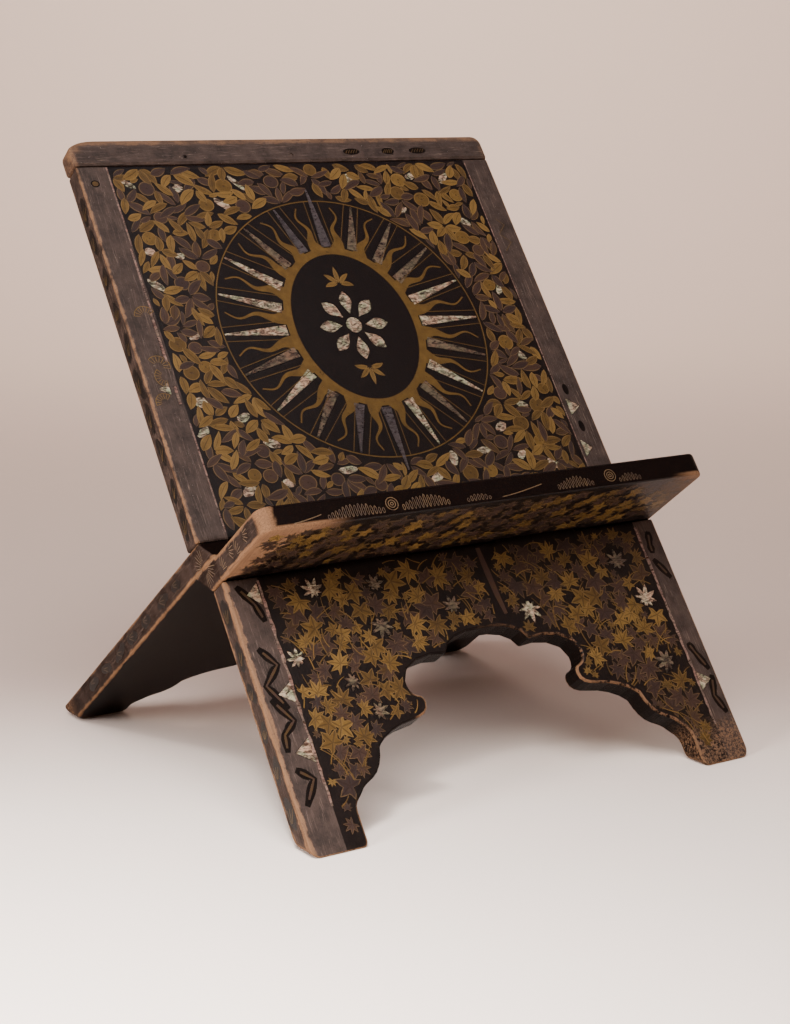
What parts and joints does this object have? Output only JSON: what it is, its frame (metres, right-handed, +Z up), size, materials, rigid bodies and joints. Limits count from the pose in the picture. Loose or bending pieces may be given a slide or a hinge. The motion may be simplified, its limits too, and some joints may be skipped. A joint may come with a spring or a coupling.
{
  "type": "folding book stand",
  "caption": "Folding X-shaped book stand of two crossed lacquered boards with an interlocking carved hinge, cusped arched legs and pearl inlay.",
  "frame": {"origin": "on the floor under the middle of the open stand's box", "axes": "+X along the hinge, +Y to the back, +Z up"},
  "size_m": [0.3124, 0.3244, 0.376],
  "materials": {
    "rest_lacquer": "black lacquer with gold and pearl decoration, worn to bare wood at the edges",
    "lip_lacquer": "black lacquer with gold decoration, worn at the edges",
    "rail_lacquer": "worn, greyed lacquer over wood",
    "peg_wood": "bare end grain",
    "mother_of_pearl": "polished shell"
  },
  "bodies": {
    "rest_leaf": {"rest_board": "rest_lacquer", "top_rail": "rail_lacquer", "rail_peg_1": "peg_wood", "rail_peg_2": "peg_wood", "rail_peg_3": "peg_wood", "sun_ray_01": "mother_of_pearl", "sun_ray_02": "mother_of_pearl", "sun_ray_03": "mother_of_pearl", "sun_ray_04": "mother_of_pearl", "sun_ray_05": "mother_of_pearl", "sun_ray_06": "mother_of_pearl", "sun_ray_07": "mother_of_pearl", "sun_ray_08": "mother_of_pearl", "sun_ray_09": "mother_of_pearl", "sun_ray_10": "mother_of_pearl", "sun_ray_11": "mother_of_pearl", "sun_ray_12": "mother_of_pearl", "sun_ray_13": "mother_of_pearl", "sun_ray_14": "mother_of_pearl", "sun_ray_15": "mother_of_pearl", "sun_ray_16": "mother_of_pearl", "sun_ray_17": "mother_of_pearl", "sun_ray_18": "mother_of_pearl", "sun_ray_19": "mother_of_pearl", "sun_ray_20": "mother_of_pearl", "rosette_petal_1": "mother_of_pearl", "rosette_petal_2": "mother_of_pearl", "rosette_petal_3": "mother_of_pearl", "rosette_petal_4": "mother_of_pearl", "rosette_petal_5": "mother_of_pearl", "rosette_petal_6": "mother_of_pearl", "rosette_petal_7": "mother_of_pearl", "rosette_petal_8": "mother_of_pearl", "rosette_button": "mother_of_pearl", "rest_strip_1": "mother_of_pearl", "rest_strip_2": "mother_of_pearl", "rest_triangle_1": "mother_of_pearl", "rest_triangle_2": "mother_of_pearl", "rest_triangle_3": "mother_of_pearl", "leg_triangle_1": "mother_of_pearl", "leg_triangle_2": "mother_of_pearl", "leg_triangle_3": "mother_of_pearl", "leg_triangle_4": "mother_of_pearl", "leg_maple_01": "mother_of_pearl", "leg_maple_02": "mother_of_pearl", "leg_maple_03": "mother_of_pearl", "leg_maple_04": "mother_of_pearl", "leg_maple_05": "mother_of_pearl", "leg_maple_06": "mother_of_pearl", "leg_maple_07": "mother_of_pearl", "leg_maple_08": "mother_of_pearl", "leg_maple_09": "mother_of_pearl", "leg_maple_10": "mother_of_pearl", "leg_maple_11": "mother_of_pearl"},
    "lip_leaf": {"lip_board": "lip_lacquer"}
  },
  "joints": [
    {"name": "fold", "type": "hinge", "parent": "rest_leaf", "child": "lip_leaf", "pos_m": [0, -0.0467, 0.137], "axis": [-1, 0, 0], "range_deg": [0, 90]}
  ]
}
